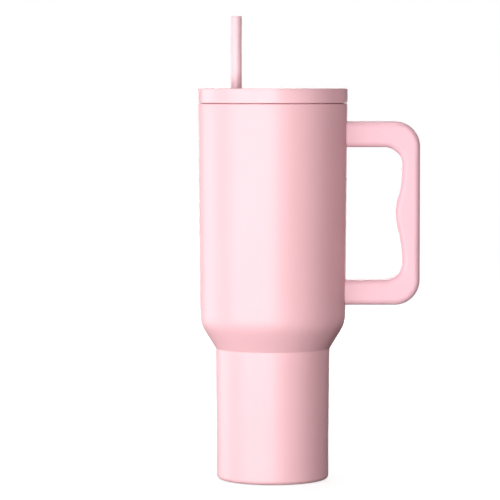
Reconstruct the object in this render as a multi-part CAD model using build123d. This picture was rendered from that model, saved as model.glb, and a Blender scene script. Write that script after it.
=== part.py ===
"""Insulated tumbler with a straw lid and a side handle, modelled as separate pieces, in millimetres.

Frame: +Z up, the origin at the centre of the foot pad on the tumbler's axis, +X towards the handle.
The straw stands on the side opposite the handle.
"""

from build123d import *
from math import atan2, tan
import os

# ---- Driving dimensions ----
LIP_Z = 251.9  # top of the steel lip
LIP_RADIUS = 49.85  # outer radius at the lip
SHOULDER_Z = 105.0  # where the wide upper body turns into the cone
SHOULDER_RADIUS = 48.55
NECK_Z = 88.3  # where the cone meets the narrow lower body
NECK_RADIUS = 38.25
LAND_Z = 24.0  # top of the cylindrical land that fits a cup holder
BASE_RADIUS = 37.5
BASE_Z = 0.5  # lowest steel, held off the table by the foot pad
SHELL_WALL = 0.6
VACUUM_GAP = 3.5
LINER_WALL = 0.5
SHOULDER_ROUND = 19.0
NECK_ROUND = 1.0
BASE_ROUND = 2.8
LIP_ROUND = 0.6

LID_RADIUS = 50.2
LID_TOP = 262.0
RIM_HEIGHT = 9.6  # visible height of the lid's rim
LID_WALL = 2.2

STRAW_X = -24.4  # straw axis
STRAW_RADIUS = 3.7
STRAW_WALL = 0.7
STRAW_TOP = 309.9

HANDLE_TOP = 240.0
HANDLE_BOTTOM = 117.7
HANDLE_OUTER_X = 98.0
UPPER_ARM_HEIGHT = 17.1
LOWER_ARM_HEIGHT = 16.45
GRIP_THICKNESS = 11.65
HANDLE_DEPTH = 20.0
HANDLE_OUTER_ROUND = 16.8
HANDLE_INNER_ROUND = 12.0
HANDLE_EDGE_ROUND = 4.0
HANDLE_WALL = 2.4

FIT = 0.1  # clearance between pieces that move on each other
JOIN = 0.02  # clearance between pieces that are welded or glued together

# ---- Sizes that follow from them ----
LINER_INSET = SHELL_WALL + VACUUM_GAP
LINER_INNER_INSET = LINER_INSET + LINER_WALL
CONE_ANGLE = atan2(SHOULDER_RADIUS - NECK_RADIUS, SHOULDER_Z - NECK_Z)
RIM_Z = LID_TOP - RIM_HEIGHT
MOUTH_RADIUS = LIP_RADIUS - LINER_INNER_INSET
LINER_FLOOR_Z = 7.8
LINER_BASE_ROUND = 6.0
FOOT_HOLE_RADIUS = 31.0
STRAW_FOOT_Z = LINER_FLOOR_Z + 0.4
OVERCUT = 1.0  # how far a cutting solid runs past the face that it cuts


def turned(points, rounds=()):
    """Solid of revolution about Z of a closed outline of (radius, height) points.

    rounds lists (point index, radius) for the corners that are rounded.
    """
    face = make_face(Polyline(*points, close=True))
    for index, radius in rounds:
        corner = Vector(*points[index])
        vertex = min(face.vertices(), key=lambda v: (Vector(v) - corner).length)
        face = fillet(vertex, radius)
    return revolve(Plane.XZ * face, Axis.Z)


def disc(radius, low, high):
    """Upright cylinder about Z between two heights."""
    return Pos(0, 0, low) * Cylinder(radius, high - low, align=(Align.CENTER, Align.CENTER, Align.MIN))


def block(low, high):
    """Box between two corners."""
    size = Vector(*high) - Vector(*low)
    return Pos(*low) * Box(size.X, size.Y, size.Z, align=(Align.MIN, Align.MIN, Align.MIN))


# ---- Vessel ----
def neck_z(inset):
    """Height of the corner between the cone and the narrow lower body, on a wall moved inwards by inset."""
    return NECK_Z + inset * tan(CONE_ANGLE / 2)


def vessel(inset, floor, top, base_round, lip_round=0.0):
    """The tumbler's body as a filled solid, with its side wall moved inwards by inset."""
    points = [
        (0, floor),
        (BASE_RADIUS - inset, floor),
        (BASE_RADIUS - inset, LAND_Z),
        (NECK_RADIUS - inset, neck_z(inset)),
        (SHOULDER_RADIUS - inset, SHOULDER_Z + inset * tan(CONE_ANGLE / 2)),
        (LIP_RADIUS - inset, top),
        (0, top),
    ]
    neck_round = max(NECK_ROUND + inset, 0.2)
    rounds = [(1, base_round), (3, neck_round), (4, SHOULDER_ROUND - inset)]
    if lip_round:
        rounds.append((5, lip_round))
    return turned(points, rounds)


def welded_pair(shell, inset):
    """The two pressings that a shell is welded from: upper and lower, which meet at the neck's corner."""
    seam = neck_z(inset)
    size = 2 * LIP_Z
    upper = shell & block((-size, -size, seam), (size, size, seam + size))
    lower = shell & block((-size, -size, seam - size), (size, size, seam))
    return upper, lower


def outer_shell():
    """Powder-coated steel skin, its lip turned in to the liner and its foot curled in under the base."""
    skin = vessel(0, BASE_Z, LIP_Z, BASE_ROUND, lip_round=LIP_ROUND)
    hollow = vessel(SHELL_WALL, BASE_Z + SHELL_WALL, LIP_Z - SHELL_WALL, BASE_ROUND - SHELL_WALL)
    mouth = disc(LIP_RADIUS - LINER_INSET + JOIN, LIP_Z - 2, LIP_Z + OVERCUT)
    foot_hole = disc(FOOT_HOLE_RADIUS, BASE_Z - OVERCUT, BASE_Z + SHELL_WALL + OVERCUT)
    return welded_pair(skin - hollow - mouth - foot_hole, 0)


def inner_liner():
    """Steel vessel that holds the drink, welded to the shell at the lip only."""
    outside = vessel(LINER_INSET, LINER_FLOOR_Z - LINER_WALL, LIP_Z, LINER_BASE_ROUND)
    inside = vessel(LINER_INNER_INSET, LINER_FLOOR_Z, LIP_Z + OVERCUT, LINER_BASE_ROUND - LINER_WALL)
    return welded_pair(outside - inside, LINER_INSET)


# ---- Underside ----
VACUUM_BASE_Z = BASE_Z + SHELL_WALL + 0.15
VACUUM_BASE_RADIUS = BASE_RADIUS - BASE_ROUND - 0.3
VACUUM_BASE_WALL = 0.8
DIMPLE_RADIUS = 7.0
DIMPLE_RISE = 1.0
PORT_RADIUS = 0.75
SEAL_RADIUS = 3.0
SEAL_HEIGHT = 0.9
GETTER_X = 16.0
GETTER_RADIUS = 4.5
GETTER_HEIGHT = 1.5
BASE_COVER_RADIUS = FOOT_HOLE_RADIUS - 0.2
BASE_COVER_WALL = 0.6
FOOT_PAD_RADIUS = 28.5
FOOT_PAD_TOP = 0.6
GROOVE_RADII = (15.0, 19.5, 24.0)
GROOVE_WIDTH = 1.0
GROOVE_DEPTH = 0.3


def vacuum_base():
    """Steel disc that closes the vacuum space, with a raised dimple and the port the air was drawn through."""
    low, high = VACUUM_BASE_Z, VACUUM_BASE_Z + VACUUM_BASE_WALL
    plate = turned(
        [
            (0, low + DIMPLE_RISE),
            (DIMPLE_RADIUS, low + DIMPLE_RISE),
            (DIMPLE_RADIUS, low),
            (VACUUM_BASE_RADIUS, low),
            (VACUUM_BASE_RADIUS, high),
            (DIMPLE_RADIUS + VACUUM_BASE_WALL, high),
            (DIMPLE_RADIUS + VACUUM_BASE_WALL, high + DIMPLE_RISE),
            (0, high + DIMPLE_RISE),
        ],
        rounds=[(6, 0.5)],
    )
    return plate - disc(PORT_RADIUS, low, high + DIMPLE_RISE + OVERCUT)


def vacuum_seal():
    """Glass bead that seals the port from below, inside the dimple."""
    top = VACUUM_BASE_Z + DIMPLE_RISE - JOIN
    low = top - SEAL_HEIGHT
    return turned([(0, low), (SEAL_RADIUS, low), (SEAL_RADIUS, top), (0, top)], rounds=[(1, 0.7)])


def getter():
    """Pellet in the vacuum space that soaks up the last gas."""
    low = VACUUM_BASE_Z + VACUUM_BASE_WALL + JOIN
    top = low + GETTER_HEIGHT
    pellet = turned([(0, low), (GETTER_RADIUS, low), (GETTER_RADIUS, top), (0, top)], rounds=[(2, 0.4)])
    return Pos(GETTER_X, 0, 0) * pellet


def base_cover():
    """Thin steel disc that hides the vacuum base, pressed into the curled foot."""
    low = FOOT_PAD_TOP + JOIN
    return disc(BASE_COVER_RADIUS, low, low + BASE_COVER_WALL)


def foot_pad():
    """Silicone pad that the tumbler stands on, with grip grooves round its flat centre."""
    pad = turned(
        [(0, 0), (FOOT_PAD_RADIUS, 0), (FOOT_PAD_RADIUS, FOOT_PAD_TOP), (0, FOOT_PAD_TOP)],
        rounds=[(1, 0.3)],
    )
    for radius in GROOVE_RADII:
        groove = disc(radius + GROOVE_WIDTH, -OVERCUT, GROOVE_DEPTH)
        pad -= groove - disc(radius, -OVERCUT, GROOVE_DEPTH)
    return pad


# ---- Lid ----
PLATE_Z = LID_TOP - LID_WALL  # underside of the lid's top plate
SKIRT_RADIUS = LID_RADIUS - LID_WALL
PORT_BOSS_Z = LID_TOP - 2 * LID_WALL  # underside of the thickened ring round the straw port
PORT_BOSS_RADIUS = 14.5
VALVE_FLANGE_RADIUS = 11.75
VALVE_SEAT_DEPTH = 1.4
VALVE_NECK_RADIUS = 8.2
VALVE_BEAD_RADIUS = 9.4  # the lip under the lid that keeps the valve in
VALVE_DISH_RADIUS = 6.4
VALVE_SLIT = 0.3
FLAP_THICKNESS = 0.9
FLAP_LENGTH = 3.6
PLUG_RADIUS = MOUTH_RADIUS - 1.9
PLUG_WALL = 2.0
PLUG_FLOOR = 1.8
PLUG_Z = 237.2
LEDGE_WIDTH = 1.1
LEDGE_HEIGHT = 1.7
TOWER_RADIUS = 10.4  # clear radius of the tower under the straw port
STRAW_HOLE_RADIUS = 5.2
SEAL_BAND = 0.8
SEAL_FLANGE_RADIUS = LIP_RADIUS - 2.6
FIN_HEIGHTS = (241.0, 245.5)


def at_straw(shape):
    """A shape drawn about Z, moved to the straw's axis."""
    return Pos(STRAW_X, 0, 0) * shape


def lid_cover():
    """Flat round cap with a straight rim, counterbored for the straw valve."""
    cap = turned(
        [
            (0, PLATE_Z),
            (SKIRT_RADIUS, PLATE_Z),
            (SKIRT_RADIUS, RIM_Z),
            (LID_RADIUS, RIM_Z),
            (LID_RADIUS, LID_TOP),
            (0, LID_TOP),
        ],
        rounds=[(1, 1.5), (3, 0.4), (4, 0.8)],
    )
    cap += at_straw(disc(PORT_BOSS_RADIUS, PORT_BOSS_Z, PLATE_Z + 0.5))
    cap -= at_straw(disc(VALVE_FLANGE_RADIUS + 0.25, LID_TOP - VALVE_SEAT_DEPTH, LID_TOP + OVERCUT))
    cap -= at_straw(disc(VALVE_NECK_RADIUS + JOIN, PORT_BOSS_Z - OVERCUT, LID_TOP))
    return cap


def lid_plug():
    """Hollow plug welded under the cap: wall, floor, a ledge for the seal and a tower round the straw."""
    ledge_z = PLUG_Z + LEDGE_HEIGHT
    flange = SKIRT_RADIUS - 0.2
    flange_low, flange_high = RIM_Z + 0.1, RIM_Z + 1.6
    top = PLATE_Z - JOIN
    floor = PLUG_Z + PLUG_FLOOR
    plug = turned(
        [
            (0, PLUG_Z),
            (PLUG_RADIUS + LEDGE_WIDTH, PLUG_Z),
            (PLUG_RADIUS + LEDGE_WIDTH, ledge_z),
            (PLUG_RADIUS, ledge_z),
            (PLUG_RADIUS, flange_low),
            (flange, flange_low),
            (flange, flange_high),
            (PLUG_RADIUS, flange_high),
            (PLUG_RADIUS, top),
            (PLUG_RADIUS - PLUG_WALL, top),
            (PLUG_RADIUS - PLUG_WALL, floor),
            (0, floor),
        ],
        rounds=[(1, 0.8), (10, 1.5)],
    )
    plug += at_straw(disc(TOWER_RADIUS + PLUG_WALL, PLUG_Z + OVERCUT, PORT_BOSS_Z - JOIN))
    plug -= at_straw(disc(TOWER_RADIUS, floor, PORT_BOSS_Z + OVERCUT))
    plug -= at_straw(disc(STRAW_HOLE_RADIUS, PLUG_Z - OVERCUT, floor + OVERCUT))
    return plug


def lid_seal():
    """Silicone ring on the plug: a band with two fins and a flange that lies on the steel lip."""
    inner = PLUG_RADIUS + FIT
    band = inner + SEAL_BAND
    fin_tip = MOUTH_RADIUS - 0.25
    foot_z = PLUG_Z + LEDGE_HEIGHT + FIT
    outline = [(inner, foot_z), (band, foot_z)]
    for fin_z in FIN_HEIGHTS:
        outline += [(band, fin_z), (fin_tip, fin_z + 1.0), (fin_tip, fin_z + 1.4), (band, fin_z + 1.6)]
    outline += [
        (band, LIP_Z + FIT),
        (SEAL_FLANGE_RADIUS, LIP_Z + FIT),
        (SEAL_FLANGE_RADIUS, RIM_Z),
        (inner, RIM_Z),
    ]
    return turned(outline, rounds=[(len(outline) - 2, 0.15), (len(outline) - 3, 0.15)])


def straw_valve():
    """Silicone grommet in the lid, its four flaps pushed down round the straw."""
    top = LID_TOP - 0.05
    seat = LID_TOP - VALVE_SEAT_DEPTH + JOIN
    bead_top = PORT_BOSS_Z - JOIN
    grip = STRAW_RADIUS + 0.08
    flap_z = bead_top - FLAP_THICKNESS
    tip_z = flap_z - FLAP_LENGTH
    ring = turned(
        [
            (grip, tip_z),
            (grip + 0.6, tip_z),
            (grip + FLAP_THICKNESS, flap_z - FLAP_THICKNESS),
            (grip + 2.0, flap_z),
            (VALVE_BEAD_RADIUS, flap_z),
            (VALVE_BEAD_RADIUS, bead_top),
            (VALVE_NECK_RADIUS, bead_top),
            (VALVE_NECK_RADIUS, seat),
            (VALVE_FLANGE_RADIUS, seat),
            (VALVE_FLANGE_RADIUS, top),
            (VALVE_DISH_RADIUS, top),
            (VALVE_DISH_RADIUS - 1.0, flap_z + 1.0),
            (grip, flap_z - 0.5),
        ],
        rounds=[(12, 0.8), (4, 0.4), (9, 0.6), (10, 0.9)],
    )
    half = VALVE_SLIT / 2
    slit = block((grip - OVERCUT, -half, tip_z - OVERCUT), (VALVE_DISH_RADIUS - 0.8, half, flap_z + 1.5))
    for quarter in range(4):
        ring -= Rot(0, 0, 90 * quarter) * slit
    return at_straw(ring)


def straw():
    """Straight drinking tube from just above the liner's floor."""
    bore = STRAW_RADIUS - STRAW_WALL
    tube = turned(
        [(bore, STRAW_FOOT_Z), (STRAW_RADIUS, STRAW_FOOT_Z), (STRAW_RADIUS, STRAW_TOP), (bore, STRAW_TOP)],
        rounds=[(index, 0.25) for index in range(4)],
    )
    return at_straw(tube)


# ---- Handle ----
INSIDE_X = 30.0  # the handle's outlines start here, inside the body, and are trimmed to it
GAP_TOP = HANDLE_TOP - UPPER_ARM_HEIGHT
GAP_BOTTOM = HANDLE_BOTTOM + LOWER_ARM_HEIGHT
GRIP_INNER_X = HANDLE_OUTER_X - GRIP_THICKNESS
KNUCKLE_Z = 178.9  # peak of the bulge between the fingers, which fills the grip from corner to corner
KNUCKLE_HEIGHT = 4.55
KNUCKLE_PEAK = 0.29  # share of the bulge's height and length that its rounded peak takes

STRAP_THICKNESS = 1.5
STRAP_WIDTH = 12.0
STRAP_BEND = 10.0
STRAP_START_X = 53.0
STRAP_X = (HANDLE_OUTER_X + GRIP_INNER_X + STRAP_THICKNESS) / 2  # outer face of the strap's upright
STRAP_HIGH = HANDLE_TOP - (UPPER_ARM_HEIGHT - STRAP_THICKNESS) / 2
STRAP_LOW = HANDLE_BOTTOM + (LOWER_ARM_HEIGHT - STRAP_THICKNESS) / 2
ARM_SOFFITS = (GAP_TOP, HANDLE_BOTTOM)  # undersides of the two arms
STRAP_SOFFITS = (STRAP_HIGH - STRAP_THICKNESS, STRAP_LOW)  # undersides of the strap's ends

TONGUE_THICKNESS = 2.5
TONGUE_END_X = 68.0
BRACKET_FOOT = 1.5  # thickness of the welded foot
BRACKET_FOOT_HEIGHT = 6.8
SCREW_X = 62.0
SCREW_RADIUS = 2.0
SCREW_HEAD_RADIUS = 3.5
SCREW_HEAD_HEIGHT = 2.4
SOCKET_RADIUS = 1.45
PLUG_HOLE_RADIUS = 3.9

RIB_WALL = 1.6
ARM_RIBS_X = (72.0, 82.0)
GRIP_RIBS_Z = (150.0, 165.0, 180.0, 195.0, 210.0)


def at_screw(shape):
    """A shape drawn about Z, moved to the screws' axis."""
    return Pos(SCREW_X, 0, 0) * shape


def bow(start, end, tangent_at_end):
    """One arc of an S-curve that runs downwards, upright at its start or at its end."""
    if tangent_at_end:
        return TangentArc(start, end, tangent=(0, 1), tangent_from_first=False)
    return TangentArc(start, end, tangent=(0, -1))


def between(start, end, share):
    """The point that lies a share of the way from one point to another."""
    return tuple(a + share * (b - a) for a, b in zip(start, end))


def upright(face, depth):
    """A face drawn in (X, Z), extruded to depth, centred on Y = 0."""
    return extrude(Plane.XZ * face, depth / 2, both=True)


def gap_face():
    """The finger gap, open on the body's side: rounded corners and a bulge on the grip."""
    x, r = GRIP_INNER_X, HANDLE_INNER_ROUND
    high, low = (x, GAP_TOP - r), (x, GAP_BOTTOM + r)
    peak = (x - KNUCKLE_HEIGHT, KNUCKLE_Z)
    above, below = between(peak, high, KNUCKLE_PEAK), between(peak, low, KNUCKLE_PEAK)
    edge = [
        Line((INSIDE_X, GAP_TOP), (x - r, GAP_TOP)),
        TangentArc((x - r, GAP_TOP), high, tangent=(1, 0)),
        bow(high, above, False),
        bow(above, peak, True),
        bow(peak, below, False),
        bow(below, low, True),
        TangentArc(low, (x - r, GAP_BOTTOM), tangent=(0, -1)),
        Line((x - r, GAP_BOTTOM), (INSIDE_X, GAP_BOTTOM)),
        Line((INSIDE_X, GAP_BOTTOM), (INSIDE_X, GAP_TOP)),
    ]
    return make_face(edge)


def bracket_face(left, right, bottom, top, radius):
    """Rectangle in (X, Z) whose two corners away from the body are rounded."""
    face = make_face(Polyline((left, bottom), (right, bottom), (right, top), (left, top), close=True))
    return fillet(face.vertices().group_by(Axis.X)[-1], radius)


def handle_face():
    """Side view of the handle, running into the body."""
    whole = bracket_face(INSIDE_X, HANDLE_OUTER_X, HANDLE_BOTTOM, HANDLE_TOP, HANDLE_OUTER_ROUND)
    return whole - gap_face()


def handle_strap(grow=0.0):
    """Flat steel strap bent to the handle's shape, its ends drilled for the screws."""
    inset = STRAP_THICKNESS + grow
    outer = bracket_face(
        STRAP_START_X, STRAP_X + grow, STRAP_LOW - grow, STRAP_HIGH + grow, STRAP_BEND + grow
    )
    inner = bracket_face(
        STRAP_START_X - OVERCUT,
        STRAP_X - inset,
        STRAP_LOW + inset,
        STRAP_HIGH - inset,
        STRAP_BEND - STRAP_THICKNESS,
    )
    strap = upright(outer - inner, STRAP_WIDTH + 2 * grow)
    if not grow:
        for soffit in STRAP_SOFFITS:
            hole = disc(SCREW_RADIUS + 0.2, soffit - OVERCUT, soffit + STRAP_THICKNESS + OVERCUT)
            strap -= at_screw(hole)
    return strap


def handle_ribs():
    """Cross walls that stiffen the hollow handle and hold the strap."""
    half = HANDLE_DEPTH / 2
    ribs = []
    for x in ARM_RIBS_X:
        for soffit in ARM_SOFFITS:
            ribs.append(block((x, -half, soffit), (x + RIB_WALL, half, soffit + UPPER_ARM_HEIGHT)))
    for z in GRIP_RIBS_Z:
        ribs.append(block((GRIP_INNER_X - 8, -half, z), (HANDLE_OUTER_X, half, z + RIB_WALL)))
    return ribs


def handle_halves():
    """The two moulded halves of the handle, which meet on the plane Y = 0 and close round the strap."""
    face = handle_face()
    solid = upright(face, HANDLE_DEPTH)
    caps = solid.faces().filter_by(Axis.Y)
    solid = fillet(caps.edges().filter_by(lambda e: e.center().X > INSIDE_X + 1), HANDLE_EDGE_ROUND)
    half_space = HANDLE_DEPTH / 2 - HANDLE_WALL
    hollow = upright(offset(face, amount=-HANDLE_WALL, kind=Kind.INTERSECTION), 2 * half_space)
    for soffit in ARM_SOFFITS:
        low = soffit + HANDLE_WALL + 0.2
        hollow += block((INSIDE_X - 5, -half_space, low), (INSIDE_X + 15, half_space, low + 11.5))
    ribs = [rib & hollow for rib in handle_ribs()]
    solid -= hollow
    for rib in ribs:
        solid += rib - handle_strap(grow=0.15)
    solid -= vessel(-FIT, BASE_Z, LIP_Z, BASE_ROUND)
    for soffit in ARM_SOFFITS:
        solid -= at_screw(disc(PLUG_HOLE_RADIUS, soffit - OVERCUT, soffit + HANDLE_WALL + OVERCUT))
    size = 2 * HANDLE_TOP
    front = solid & block((0, -size, 0), (size, -JOIN / 2, size))
    rear = solid & block((0, JOIN / 2, 0), (size, size, size))
    return front, rear


def handle_bracket(soffit):
    """Steel foot welded to the shell, with a threaded tongue that lies on the strap's end."""
    low = soffit + STRAP_THICKNESS + JOIN
    high = low + TONGUE_THICKNESS
    middle = (low + high) / 2
    half = STRAP_WIDTH / 2
    tongue = block((INSIDE_X, -half, low), (TONGUE_END_X, half, high))
    tongue = fillet(tongue.edges().filter_by(Axis.Z).sort_by(Axis.X)[-2:], 3.0)
    foot = vessel(-BRACKET_FOOT, BASE_Z, LIP_Z, BASE_ROUND)
    foot_low, foot_high = middle - BRACKET_FOOT_HEIGHT / 2, middle + BRACKET_FOOT_HEIGHT / 2
    foot &= block((INSIDE_X, -half - 1, foot_low), (TONGUE_END_X, half + 1, foot_high))
    bracket = foot + tongue - vessel(-JOIN, BASE_Z, LIP_Z, BASE_ROUND)
    return bracket - at_screw(disc(SCREW_RADIUS + 0.05, low - OVERCUT, high + OVERCUT))


def handle_screw(soffit):
    """Pan-head screw, driven upwards through the strap into the tongue."""
    head_low, head_high = soffit - SCREW_HEAD_HEIGHT, soffit - JOIN
    shank = disc(SCREW_RADIUS, head_low + OVERCUT, soffit + STRAP_THICKNESS + TONGUE_THICKNESS + 1.2)
    head = turned(
        [(0, head_low), (SCREW_HEAD_RADIUS, head_low), (SCREW_HEAD_RADIUS, head_high), (0, head_high)],
        rounds=[(1, 1.0)],
    )
    socket = Pos(0, 0, head_low - 0.1) * extrude(RegularPolygon(SOCKET_RADIUS, 6), 1.6)
    return at_screw(shank + head - socket)


def screw_plug(soffit):
    """Push-in plug that covers a screw's access hole, flush with the underside of the arm."""
    radius = PLUG_HOLE_RADIUS - FIT
    low, high = soffit + 0.1, soffit + HANDLE_WALL
    plug = turned([(0, low), (radius, low), (radius, high), (0, high)], rounds=[(1, 0.4)])
    return at_screw(plug)


def write(name, *solids):
    """One STEP file for one named piece."""
    shape = solids[0] if len(solids) == 1 else Compound(children=list(solids))
    shape.label = name
    export_step(shape, f"parts/{name}.step")


os.makedirs("parts", exist_ok=True)
shell_upper, shell_lower = outer_shell()
liner_upper, liner_lower = inner_liner()
front_half, rear_half = handle_halves()
write("shell_upper", shell_upper)
write("shell_lower", shell_lower)
write("liner_upper", liner_upper)
write("liner_lower", liner_lower)
write("vacuum_base", vacuum_base())
write("vacuum_seal", vacuum_seal())
write("getter", getter())
write("base_cover", base_cover())
write("foot_pad", foot_pad())
write("lid_cover", lid_cover())
write("lid_plug", lid_plug())
write("lid_seal", lid_seal())
write("straw_valve", straw_valve())
write("straw", straw())
write("handle_half_front", front_half)
write("handle_half_rear", rear_half)
write("handle_strap", handle_strap())
write("handle_bracket_upper", handle_bracket(STRAP_SOFFITS[0]))
write("handle_bracket_lower", handle_bracket(STRAP_SOFFITS[1]))
write("handle_screws", *[handle_screw(soffit) for soffit in STRAP_SOFFITS])
write("screw_plugs", *[screw_plug(soffit) for soffit in ARM_SOFFITS])
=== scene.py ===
"""Looks for the insulated tumbler, round the CAD frame.

A material for every part, then the floor and backdrop, the light and the camera.
"""

import math

import bpy
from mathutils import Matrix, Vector


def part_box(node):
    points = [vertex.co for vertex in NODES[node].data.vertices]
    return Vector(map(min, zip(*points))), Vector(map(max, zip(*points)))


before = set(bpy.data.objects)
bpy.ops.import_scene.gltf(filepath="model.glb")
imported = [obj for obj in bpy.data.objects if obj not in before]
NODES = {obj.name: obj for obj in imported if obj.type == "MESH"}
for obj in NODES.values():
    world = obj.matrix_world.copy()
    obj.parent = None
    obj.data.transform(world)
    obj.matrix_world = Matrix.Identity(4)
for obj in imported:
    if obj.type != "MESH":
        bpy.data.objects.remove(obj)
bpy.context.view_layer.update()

SCENE = bpy.context.scene
MM = 0.001  # the scene is in metres

# ---- Places, all taken from the frame ----
LIP_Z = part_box("shell_upper")[1].z  # top of the steel vessel
LID_TOP_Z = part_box("lid_cover")[1].z
LID_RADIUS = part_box("lid_cover")[1].x
MIDDLE = Vector((0, 0, LID_TOP_Z / 2))

# ---- The bare steel on the rounded lip, where the pink coat stops ----
COAT_END = 1.9 * MM  # how far inside the lid's radius the coat starts to fade
COAT_FADE = 0.2 * MM
LIP_DEPTH = 1.0 * MM  # bare steel shows only this far below the top of the lip
BARE_ROUGHNESS = 0.25

# ---- Colours, linear ----
COAT_PINK = (0.95, 0.558, 0.604, 1)
LID_PINK = (0.95, 0.575, 0.620, 1)
HANDLE_PINK = (0.96, 0.585, 0.655, 1)
STRAW_PINK = (0.89, 0.610, 0.655, 1)
SILICONE_PINK = (0.92, 0.440, 0.510, 1)
STEEL_GREY = (0.80, 0.795, 0.785, 1)
GLASS_GREEN = (0.35, 0.45, 0.40, 1)
GETTER_GREY = (0.09, 0.09, 0.095, 1)


class Tree:
    """A material and short forms for building its node tree."""

    def __init__(self, name):
        self.material = bpy.data.materials.new(name)
        self.material.use_nodes = True
        self.tree = self.material.node_tree
        self.shader = self.tree.nodes["Principled BSDF"]
        self.place = self.add("ShaderNodeTexCoord").outputs["Object"]

    def add(self, kind, **settings):
        node = self.tree.nodes.new(kind)
        for name, value in settings.items():
            setattr(node, name, value)
        return node

    def link(self, output, target):
        self.tree.links.new(output, target)

    def set(self, **values):
        """Fixed numbers on the shader, named with underscores for spaces."""
        for name, value in values.items():
            self.shader.inputs[name.replace("_", " ")].default_value = value

    def noise(self, grain, stretch=(1, 1, 1), detail=3.0, seed=0.0):
        """Noise whose lumps are about grain metres across, drawn out along the axes by stretch."""
        mapping = self.add("ShaderNodeMapping")
        mapping.inputs["Location"].default_value = (seed, 2 * seed, 3 * seed)
        mapping.inputs["Scale"].default_value = [1 / s for s in stretch]
        self.link(self.place, mapping.inputs["Vector"])
        noise = self.add("ShaderNodeTexNoise")
        noise.inputs["Scale"].default_value = 1 / grain
        noise.inputs["Detail"].default_value = detail
        self.link(mapping.outputs["Vector"], noise.inputs["Vector"])
        return noise.outputs["Fac"]

    def range(self, value, low, high):
        """A noise value spread over low to high."""
        node = self.add("ShaderNodeMapRange")
        node.inputs["From Min"].default_value = 0.3
        node.inputs["From Max"].default_value = 0.7
        node.inputs["To Min"].default_value = low
        node.inputs["To Max"].default_value = high
        self.link(value, node.inputs["Value"])
        return node.outputs["Result"]

    def mix(self, factor, first, second):
        """Colour between two, each a fixed colour or a node's output."""
        node = self.add("ShaderNodeMix", data_type="RGBA")
        self.link(factor, node.inputs["Factor"])
        for value, socket in ((first, node.inputs[6]), (second, node.inputs[7])):
            if isinstance(value, tuple):
                socket.default_value = value
            else:
                self.link(value, socket)
        return node.outputs[2]

    def mix_number(self, factor, first, second):
        """Number between two, each a fixed number or a node's output."""
        node = self.add("ShaderNodeMix", data_type="FLOAT")
        self.link(factor, node.inputs["Factor"])
        for value, socket in ((first, node.inputs[2]), (second, node.inputs[3])):
            if isinstance(value, (int, float)):
                socket.default_value = value
            else:
                self.link(value, socket)
        return node.outputs[0]

    def bumps(self, *layers):
        """Stacks (height output, depth in metres, strength) layers into the shader's normal."""
        normal = None
        for height, depth, strength in layers:
            bump = self.add("ShaderNodeBump")
            bump.inputs["Strength"].default_value = strength
            bump.inputs["Distance"].default_value = depth
            self.link(height, bump.inputs["Height"])
            if normal:
                self.link(normal, bump.inputs["Normal"])
            normal = bump.outputs["Normal"]
        self.link(normal, self.shader.inputs["Normal"])

    def colour(self, output):
        self.link(output, self.shader.inputs["Base Color"])

    def roughness(self, output):
        self.link(output, self.shader.inputs["Roughness"])


def shade(colour, factor):
    """A colour made lighter or darker."""
    return tuple(min(c * factor, 1.0) for c in colour[:3]) + (1,)


# ---- Materials ----
def bare_lip(tree):
    """One on the inner edge of the rounded mouth and nought everywhere else."""
    height = tree.add("ShaderNodeSeparateXYZ")
    tree.link(tree.place, height.inputs["Vector"])
    flat = tree.add("ShaderNodeVectorMath", operation="MULTIPLY")
    flat.inputs[1].default_value = (1, 1, 0)
    tree.link(tree.place, flat.inputs[0])
    radius = tree.add("ShaderNodeVectorMath", operation="LENGTH")
    tree.link(flat.outputs["Vector"], radius.inputs[0])
    inside = tree.add("ShaderNodeMapRange")
    inside.inputs["From Min"].default_value = LID_RADIUS - COAT_END
    inside.inputs["From Max"].default_value = LID_RADIUS - COAT_END - COAT_FADE
    tree.link(radius.outputs["Value"], inside.inputs["Value"])
    above = tree.add("ShaderNodeMath", operation="GREATER_THAN")
    above.inputs[1].default_value = LIP_Z - LIP_DEPTH
    tree.link(height.outputs["Z"], above.inputs[0])
    bare = tree.add("ShaderNodeMath", operation="MULTIPLY")
    tree.link(inside.outputs["Result"], bare.inputs[0])
    tree.link(above.outputs["Value"], bare.inputs[1])
    return bare.outputs["Value"]


def powder_coat(lip=False):
    """Matte sprayed coat: fine grain over a faint orange peel. With lip, the mouth's inner edge is bare."""
    tree = Tree("powder_coat_lip" if lip else "powder_coat")
    grain = tree.noise(0.35 * MM, detail=2.0)
    peel = tree.noise(2.2 * MM, detail=1.0, seed=3.0)
    cloud = tree.noise(35 * MM, detail=2.0, seed=7.0)
    tint = tree.mix(tree.range(cloud, 0, 1), shade(COAT_PINK, 0.985), shade(COAT_PINK, 1.01))
    tint = tree.mix(tree.range(grain, 0, 0.5), tint, shade(COAT_PINK, 0.965))
    rough = tree.range(grain, 0.42, 0.50)
    tree.bumps((peel, 0.02 * MM, 0.5), (grain, 0.02 * MM, 0.35))
    if lip:
        bare = bare_lip(tree)
        tint = tree.mix(bare, tint, STEEL_GREY)
        rough = tree.mix_number(bare, rough, BARE_ROUGHNESS)
        tree.link(bare, tree.shader.inputs["Metallic"])
    tree.colour(tint)
    tree.roughness(rough)
    tree.set(Specular_IOR_Level=0.75)
    return tree.material


def moulded_plastic(name, pink, smooth, gloss):
    """Satin moulding: a fine even spark texture and slow changes of gloss where the melt has flowed."""
    tree = Tree(name)
    spark = tree.noise(0.22 * MM, detail=2.0, seed=1.0)
    flow = tree.noise(18 * MM, stretch=(1, 1, 2.5), detail=2.0, seed=5.0)
    tree.colour(tree.mix(tree.range(flow, 0, 1), shade(pink, 0.985), shade(pink, 1.01)))
    tree.roughness(tree.range(flow, smooth - 0.03, smooth + 0.03))
    tree.bumps((spark, 0.012 * MM, 0.4))
    tree.set(Specular_IOR_Level=gloss)
    return tree.material


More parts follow.
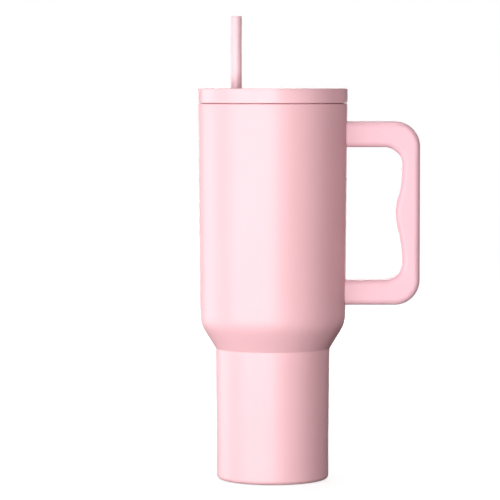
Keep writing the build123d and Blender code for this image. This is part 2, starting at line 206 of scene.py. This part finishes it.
def straw_plastic():
    """Extruded tube: gloss with faint lines drawn along it."""
    tree = Tree("straw_plastic")
    lines = tree.noise(0.5 * MM, stretch=(1, 1, 60), detail=3.0)
    cloud = tree.noise(25 * MM, detail=1.0, seed=2.0)
    tree.colour(tree.mix(tree.range(cloud, 0, 1), shade(STRAW_PINK, 0.98), shade(STRAW_PINK, 1.01)))
    tree.roughness(tree.range(lines, 0.34, 0.44))
    tree.bumps((lines, 0.01 * MM, 0.4))
    return tree.material


def silicone():
    """Soft rubber: no gloss to speak of, a velvety edge and a little clinging dust."""
    tree = Tree("silicone")
    skin = tree.noise(0.4 * MM, detail=3.0, seed=4.0)
    dust = tree.noise(0.8 * MM, detail=6.0, seed=9.0)
    specks = tree.add("ShaderNodeMapRange")
    specks.inputs["From Min"].default_value = 0.66
    specks.inputs["From Max"].default_value = 0.72
    tree.link(dust, specks.inputs["Value"])
    base = tree.mix(tree.range(skin, 0, 1), shade(SILICONE_PINK, 0.97), shade(SILICONE_PINK, 1.02))
    tree.colour(tree.mix(specks.outputs["Result"], base, shade(SILICONE_PINK, 1.06)))
    tree.roughness(tree.range(skin, 0.60, 0.72))
    tree.bumps((skin, 0.015 * MM, 0.4))
    tree.set(Sheen_Weight=0.15, Sheen_Roughness=0.4)
    return tree.material


def brushed_steel(name, stretch):
    """Bare stainless steel with brushing drawn out along the axes that stretch names."""
    tree = Tree(name)
    brush = tree.noise(0.25 * MM, stretch=stretch, detail=4.0)
    stain = tree.noise(14 * MM, detail=2.0, seed=6.0)
    tree.colour(tree.mix(tree.range(brush, 0, 1), shade(STEEL_GREY, 0.86), shade(STEEL_GREY, 1.08)))
    clean = tree.range(brush, 0.22, 0.36)
    stained = tree.range(brush, 0.27, 0.42)
    tree.roughness(tree.mix_number(tree.range(stain, 0, 1), clean, stained))
    tree.bumps((brush, 0.01 * MM, 0.35))
    tree.set(Metallic=1.0)
    return tree.material


def fused_glass():
    """Solder glass bead with cloudy swirls."""
    tree = Tree("fused_glass")
    swirl = tree.noise(1.6 * MM, detail=4.0)
    tree.colour(tree.mix(tree.range(swirl, 0, 1), shade(GLASS_GREEN, 0.8), shade(GLASS_GREEN, 1.2)))
    tree.roughness(tree.range(swirl, 0.06, 0.16))
    tree.bumps((swirl, 0.05 * MM, 0.3))
    tree.set(Specular_IOR_Level=0.7)
    return tree.material


def pressed_powder():
    """Getter pellet: dark metal powder, pressed."""
    tree = Tree("pressed_powder")
    grit = tree.noise(0.15 * MM, detail=4.0)
    tree.colour(tree.mix(tree.range(grit, 0, 1), shade(GETTER_GREY, 0.6), shade(GETTER_GREY, 1.5)))
    tree.roughness(tree.range(grit, 0.55, 0.85))
    tree.bumps((grit, 0.05 * MM, 0.6))
    tree.set(Metallic=0.6)
    return tree.material


coat = powder_coat()
lid_finish = moulded_plastic("lid_plastic", LID_PINK, smooth=0.36, gloss=0.5)
handle_finish = moulded_plastic("handle_plastic", HANDLE_PINK, smooth=0.46, gloss=0.4)
spun = brushed_steel("spun_steel", (1, 1, 1))
FINISH = {
    "shell_upper": powder_coat(lip=True),
    "shell_lower": coat,
    "lid_cover": lid_finish,
    "lid_plug": lid_finish,
    "handle_half_front": handle_finish,
    "handle_half_rear": handle_finish,
    "screw_plugs": handle_finish,
    "straw": straw_plastic(),
    "vacuum_seal": fused_glass(),
    "getter": pressed_powder(),
}
rubber = silicone()
for name in ("foot_pad", "lid_seal", "straw_valve"):
    FINISH[name] = rubber
round_brushed = brushed_steel("steel_brushed_round", (40, 40, 1))
for name in ("liner_upper", "liner_lower"):
    FINISH[name] = round_brushed
for name in ("vacuum_base", "base_cover"):
    FINISH[name] = spun
strip = brushed_steel("steel_strip", (30, 1, 1))
for name in ("handle_strap", "handle_bracket_upper", "handle_bracket_lower", "handle_screws"):
    FINISH[name] = strip

for name, node in NODES.items():
    for place in node.material_slots:
        place.material = FINISH[name]

# ---- Floor and backdrop ----
ROOM = 6.0  # radius of the white room, metres
WHITE = (1, 1, 1, 1)
FLOOR_PAPER = 0.45  # how much of the lamps' light the floor gives back, on top of its own glow
FOOT_RADIUS, CLEAR_RADIUS = 0.10, 0.30  # the floor's own glow rises between these distances from the axis; the dimmer glow inside them is painted shade round the foot
PAINTED_SHADE_GLOW, CLEAR_GLOW = 0.80, 1.0


def glow(name, colour, strength, paper=0.0):
    """White paper that glows evenly; paper is the share that takes light and shadow."""
    material = bpy.data.materials.new(name)
    material.use_nodes = True
    shader = material.node_tree.nodes["Principled BSDF"]
    shader.inputs["Base Color"].default_value = (paper, paper, paper, 1)
    shader.inputs["Roughness"].default_value = 1.0
    shader.inputs["Specular IOR Level"].default_value = 0.0
    shader.inputs["Emission Color"].default_value = colour
    shader.inputs["Emission Strength"].default_value = strength
    return material


def hide_from_bounces(piece):
    """The piece is seen by the camera but neither lights nor shades anything."""
    piece.visible_diffuse = False
    piece.visible_glossy = False
    piece.visible_transmission = False
    piece.visible_shadow = False


def painted_shade_round_the_foot(material):
    """Painted shade round the foot: makes a floor glow a little less near the axis than far from it."""
    nodes, links = material.node_tree.nodes, material.node_tree.links
    place = nodes.new("ShaderNodeTexCoord")
    radius = nodes.new("ShaderNodeVectorMath")
    radius.operation = "LENGTH"
    rise = nodes.new("ShaderNodeMapRange")
    rise.inputs["From Min"].default_value = FOOT_RADIUS
    rise.inputs["From Max"].default_value = CLEAR_RADIUS
    rise.inputs["To Min"].default_value = PAINTED_SHADE_GLOW
    rise.inputs["To Max"].default_value = CLEAR_GLOW
    links.new(place.outputs["Object"], radius.inputs[0])
    links.new(radius.outputs["Value"], rise.inputs["Value"])
    links.new(rise.outputs["Result"], nodes["Principled BSDF"].inputs["Emission Strength"])


bpy.ops.mesh.primitive_plane_add(size=2 * ROOM)
floor = bpy.context.object
floor.name = "floor"
floor_paper = glow("floor_paper", WHITE, CLEAR_GLOW, paper=FLOOR_PAPER)
# painted shade: the floor glows less round the tumbler's foot, so it is darker there under any lamp
painted_shade_round_the_foot(floor_paper)
floor.data.materials.append(floor_paper)
hide_from_bounces(floor)

bpy.ops.mesh.primitive_uv_sphere_add(radius=ROOM, segments=64, ring_count=32)
backdrop = bpy.context.object
backdrop.name = "backdrop"
backdrop.data.materials.append(glow("backdrop_paper", WHITE, 1.0))
hide_from_bounces(backdrop)

# ---- Light ----
DAYLIGHT = (1, 1, 1)
WARM = (1.0, 0.76, 0.78)  # as if it came back from something pink
LAMP_DISTANCE = 1.4  # of the lamps round the tumbler, metres
TOP_DISTANCE = 1.2
SURROUND = (1.0, 0.80, 0.82, 1)
BAND = ((0.36, 0.02), (0.46, 0.05), (0.56, 0.05), (0.78, 0.03))  # height from nadir 0 to zenith 1, brightness


def softbox(name, azimuth, elevation, distance, size, power, colour=DAYLIGHT):
    """Area light aimed at the tumbler's middle. Azimuth 0 is in front, positive to the left."""
    data = bpy.data.lights.new(name, "AREA")
    data.shape = "RECTANGLE"
    data.size, data.size_y = size
    data.energy = power
    data.color = colour
    light = bpy.data.objects.new(name, data)
    SCENE.collection.objects.link(light)
    a, e = math.radians(azimuth), math.radians(elevation)
    offset = Vector((-math.sin(a) * math.cos(e), -math.cos(a) * math.cos(e), math.sin(e)))
    light.location = MIDDLE + offset * distance
    light.rotation_euler = (-offset).to_track_quat("-Z", "Y").to_euler()


def dim_surround():
    """A world that is faint all round, most so overhead and underfoot."""
    world = bpy.data.worlds.new("studio")
    world.use_nodes = True
    nodes, links = world.node_tree.nodes, world.node_tree.links
    nodes["Background"].inputs["Color"].default_value = SURROUND
    direction = nodes.new("ShaderNodeTexCoord")
    upward = nodes.new("ShaderNodeSeparateXYZ")
    height_share = nodes.new("ShaderNodeMapRange")
    height_share.inputs["From Min"].default_value = -1.0
    band = nodes.new("ShaderNodeValToRGB")
    stops = band.color_ramp.elements
    while len(stops) < len(BAND):
        stops.new(0.5)
    for stop, (share, level) in zip(stops, BAND):
        stop.position = share
        stop.color = (level, level, level, 1)
    links.new(direction.outputs["Generated"], upward.inputs["Vector"])
    links.new(upward.outputs["Z"], height_share.inputs["Value"])
    links.new(height_share.outputs["Result"], band.inputs["Fac"])
    links.new(band.outputs["Color"], nodes["Background"].inputs["Strength"])
    return world


softbox("front", 8, 2, LAMP_DISTANCE, (0.8, 0.8), 14.8)
softbox("left", 48, 2, LAMP_DISTANCE, (0.9, 0.8), 11.2)
softbox("left_rim", 116, -2, LAMP_DISTANCE, (1.0, 0.8), 8.4)
softbox("right", -48, 2, LAMP_DISTANCE, (0.8, 0.8), 1.9, WARM)
softbox("right_rim", -128, 2, LAMP_DISTANCE, (0.8, 0.8), 2.0, WARM)
softbox("back", 180, 4, LAMP_DISTANCE, (1.0, 0.8), 14.0)
softbox("top", 180, 80, TOP_DISTANCE, (0.9, 0.9), 5.0)
SCENE.world = dim_surround()

# ---- Camera ----
CAMERA_DISTANCE = 1.9
CAMERA_HEIGHT = 4.8 * MM  # above the lid's top
CAMERA_LEFT = 15.2 * MM  # the tumbler stands right of the picture's middle
CAMERA_TILT = math.radians(3.4)
SENSOR_WIDTH = 36.0  # millimetres, as the focal length
FOCAL_LENGTH = 204.8

lens = bpy.data.cameras.new("camera")
lens.sensor_width = SENSOR_WIDTH
lens.lens = FOCAL_LENGTH
lens.clip_end = 4 * ROOM
camera = bpy.data.objects.new("camera", lens)
camera.location = (-CAMERA_LEFT, -CAMERA_DISTANCE, LID_TOP_Z + CAMERA_HEIGHT)
camera.rotation_euler = (math.pi / 2 - CAMERA_TILT, 0, 0)
SCENE.collection.objects.link(camera)
SCENE.camera = camera

SCENE.view_settings.view_transform = "Standard"
